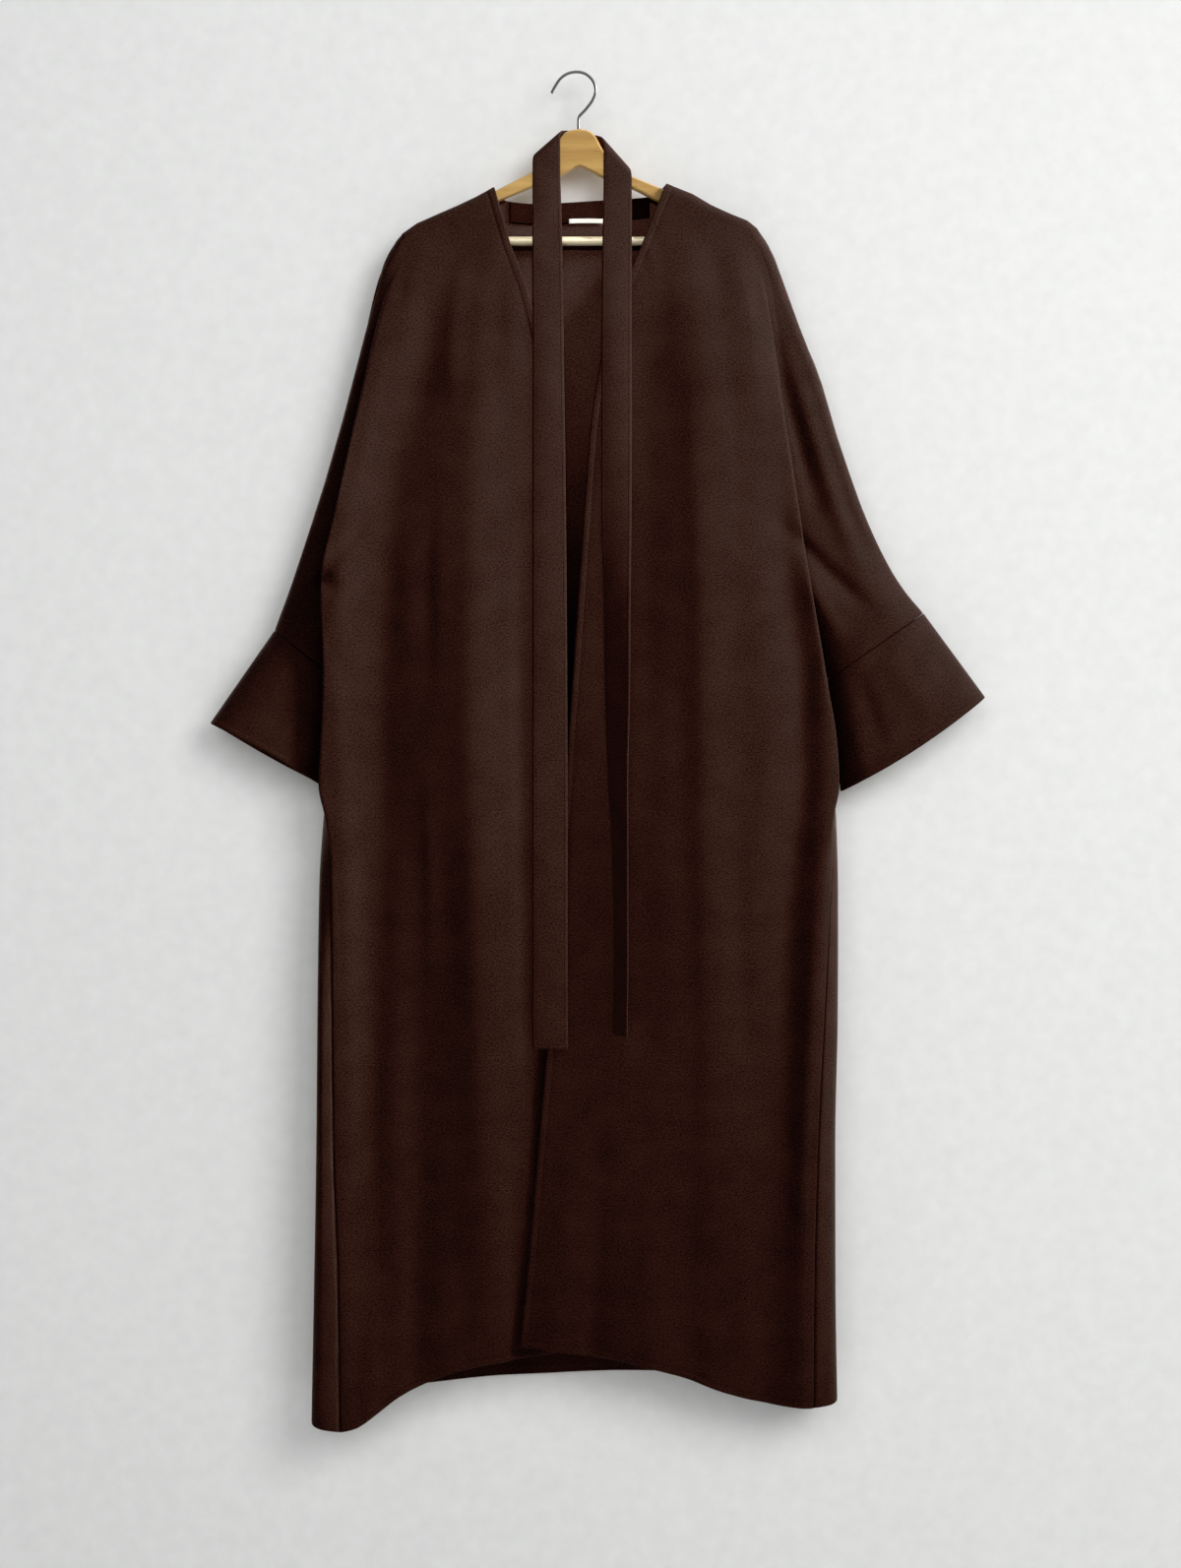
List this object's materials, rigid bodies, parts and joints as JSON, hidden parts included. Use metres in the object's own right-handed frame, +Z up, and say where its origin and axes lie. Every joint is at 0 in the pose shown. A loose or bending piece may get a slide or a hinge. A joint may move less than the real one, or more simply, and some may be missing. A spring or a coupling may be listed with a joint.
{
  "type": "abaya coat on a wooden hanger",
  "caption": "Long open-front abaya coat with batwing sleeves and sewn-on cuffs, hung on a wooden bar hanger with its belt laid over the hanger's head.",
  "frame": {"origin": "under the crown of the hanger's hook, where a peg or rail bears", "axes": "+Z up, -Y towards the viewer of the coat's front, +X to that viewer's right"},
  "size_m": [0.9046, 0.1106, 1.5754],
  "materials": {
    "cloth": "dark brown felted weave, matt",
    "label": "plain off-white satin, blank",
    "wood": "clear-varnished honey-coloured wood",
    "pale_wood": "clear-varnished pale wood",
    "steel": "plain drawn steel wire"
  },
  "bodies": {
    "root": {"front_left": "cloth", "front_right": "cloth", "back": "cloth", "cuff_left": "cloth", "cuff_right": "cloth", "neck_facing": "cloth", "neck_label": "label", "belt": "cloth", "hanger_body": "wood", "hanger_bar": "pale_wood", "hanger_hook": "steel"}
  },
  "joints": []
}
